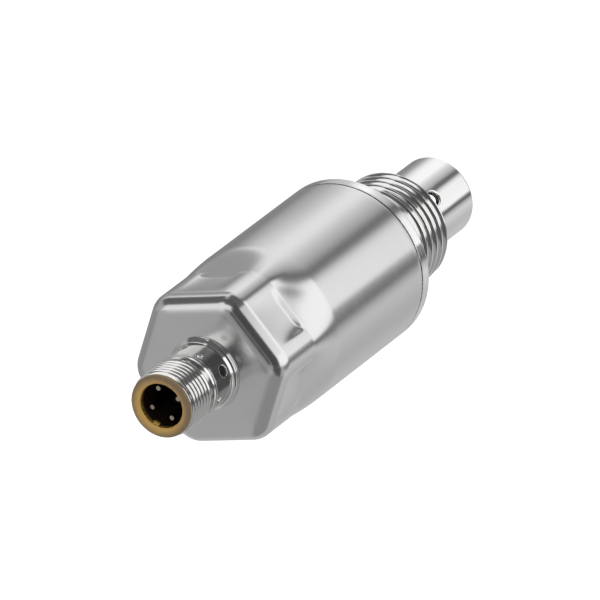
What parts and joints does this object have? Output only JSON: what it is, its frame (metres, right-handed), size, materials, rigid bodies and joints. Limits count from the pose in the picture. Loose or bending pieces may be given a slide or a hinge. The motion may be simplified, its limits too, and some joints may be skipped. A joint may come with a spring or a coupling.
{
  "type": "oil moisture sensor",
  "caption": "Cylindrical stainless steel oil moisture sensor with a hexagonal end, a round plug socket, a threaded process stud and a probe tube.",
  "frame": {"origin": "on the sensor's axis, in the plane of the fitting's sealing face, where the stud meets its port", "axes": "+Y along the axis towards the probe, -Y towards the plug socket, +Z square to the upper flat of the hexagon, +X towards one of its corners"},
  "size_m": [0.0305, 0.0995, 0.0306],
  "materials": {
    "satin_steel": "fine satin brushed stainless steel",
    "polished_steel": "turned and polished stainless steel",
    "plated_sleeve": "bright nickel plating",
    "amber_plastic": "translucent amber engineering plastic",
    "smoked_plastic": "dark smoked plastic",
    "seal_rubber": "black fluoroelastomer",
    "gold_contact": "gold plated",
    "circuit_board": "solder mask",
    "chip_plastic": "moulded package",
    "holder_plastic": "moulded, fine matt",
    "ceramic": "fired, unglazed",
    "lead_glass": "fused bead"
  },
  "bodies": {
    "root": {"housing_shell": "satin_steel", "process_fitting": "polished_steel", "sealing_ring": "seal_rubber", "probe_tube": "polished_steel", "feedthrough_body": "polished_steel", "feedthrough_glass": "lead_glass", "feedthrough_leads": "gold_contact", "header_o_ring": "seal_rubber", "element_carrier": "ceramic", "humidity_element": "ceramic", "temperature_element": "ceramic", "main_board": "circuit_board", "microcontroller": "chip_plastic", "signal_converter": "chip_plastic", "clock_crystal": "plated_sleeve", "output_driver": "chip_plastic", "voltage_regulator": "chip_plastic", "storage_inductor": "chip_plastic", "ceramic_capacitors": "ceramic", "surge_diodes": "chip_plastic", "contact_board": "circuit_board", "board_holder_front": "holder_plastic", "board_holder_rear": "holder_plastic", "connector_sleeve": "plated_sleeve", "window_plugs": "smoked_plastic", "contact_insert": "amber_plastic", "insert_o_ring": "seal_rubber", "contact_pin_1": "gold_contact", "contact_pin_2": "gold_contact", "contact_pin_3": "gold_contact", "contact_pin_4": "gold_contact", "sleeve_seal": "seal_rubber", "sleeve_nut": "plated_sleeve"}
  },
  "joints": []
}
